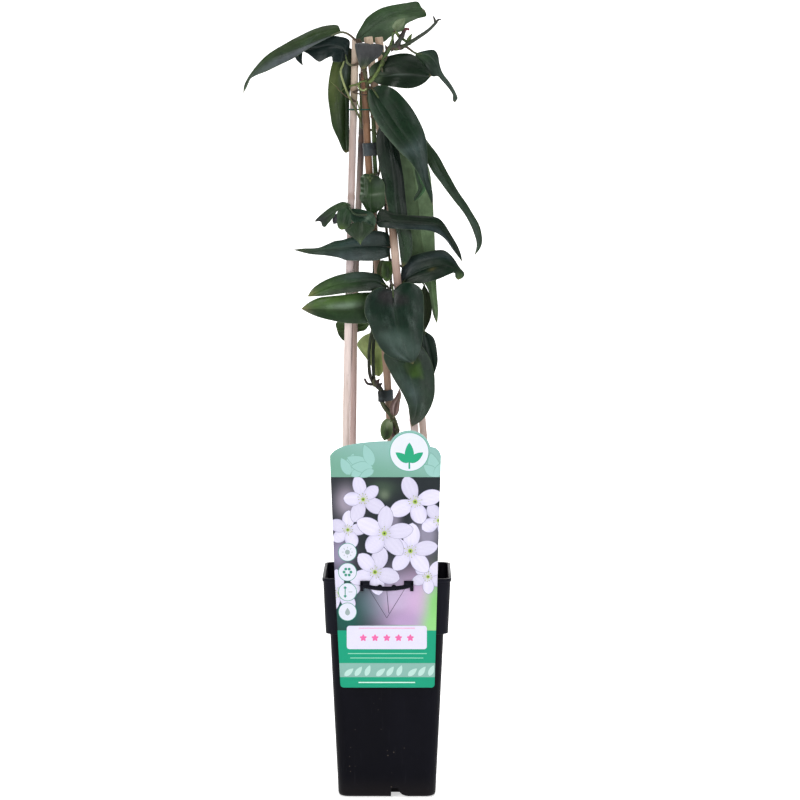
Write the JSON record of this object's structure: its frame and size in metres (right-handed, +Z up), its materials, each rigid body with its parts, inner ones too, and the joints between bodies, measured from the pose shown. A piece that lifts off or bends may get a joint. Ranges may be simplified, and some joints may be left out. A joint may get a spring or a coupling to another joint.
{
  "type": "potted climbing plant on canes",
  "caption": "Evergreen clematis tied to a wigwam of bamboo canes in a tall square nursery pot, with a card label hung on the pot's collar.",
  "frame": {"origin": "centre of the flat underside of the pot", "axes": "+Z up along the canes; -Y towards the side with the label; +X to the right when facing the label"},
  "size_m": [0.2029, 0.113, 0.6787],
  "materials": {
    "pot": "black moulded plastic with a soft sheen and a few specks of soil",
    "soil": "loose dark brown potting soil",
    "card": "coated card with a printed design in green, lilac and white",
    "cane": "pale pinkish bamboo with faint grain and nodes",
    "cane_tan": "tan bamboo with faint grain and nodes",
    "wire": "wire in a dark green plastic coat",
    "clip": "soft dark grey plastic",
    "bark": "thin brown and green bark",
    "shoot": "smooth young green bark",
    "straw": "dry papery bud scale",
    "leaf": "leathery dark green leaf, glossy above and paler and matt below, with three long veins"
  },
  "bodies": {
    "root": {"pot": "pot", "soil": "soil", "label_card": "card", "cane_front_left": "cane", "cane_back_left": "cane", "cane_centre": "cane_tan", "cane_front_right": "cane", "cane_back_right": "cane", "tie_wire": "wire", "clip_upper": "clip", "clip_lower": "clip", "stem_main": "bark", "stem_side": "bark", "stem_top": "shoot", "tendril": "shoot", "bud_scale": "straw", "leaf_top_left": "leaf", "leaf_top_arched": "leaf", "leaf_left_hanging": "leaf", "leaf_top_right": "leaf", "leaf_top_small": "leaf", "leaf_top_front": "leaf", "leaf_right_upper": "leaf", "leaf_right_hooked": "leaf", "leaf_right_large": "leaf", "leaf_right_trailing": "leaf", "leaf_back_dark": "leaf", "leaf_back_pale": "leaf", "leaf_right_mid": "leaf", "leaf_front_heart": "leaf", "leaf_lower_front": "leaf", "leaf_lower_back": "leaf", "leaf_left_mid_upper": "leaf", "leaf_left_mid_lower": "leaf", "leaf_left_spear": "leaf", "leaf_centre_crumpled": "leaf", "leaf_left_cluster": "leaf", "leaf_right_narrow": "leaf", "leaf_centre_curled": "leaf", "leaf_back_left": "leaf", "leaf_centre_pale": "leaf", "leaf_back_right": "leaf", "leaf_low_small": "leaf"}
  },
  "joints": []
}
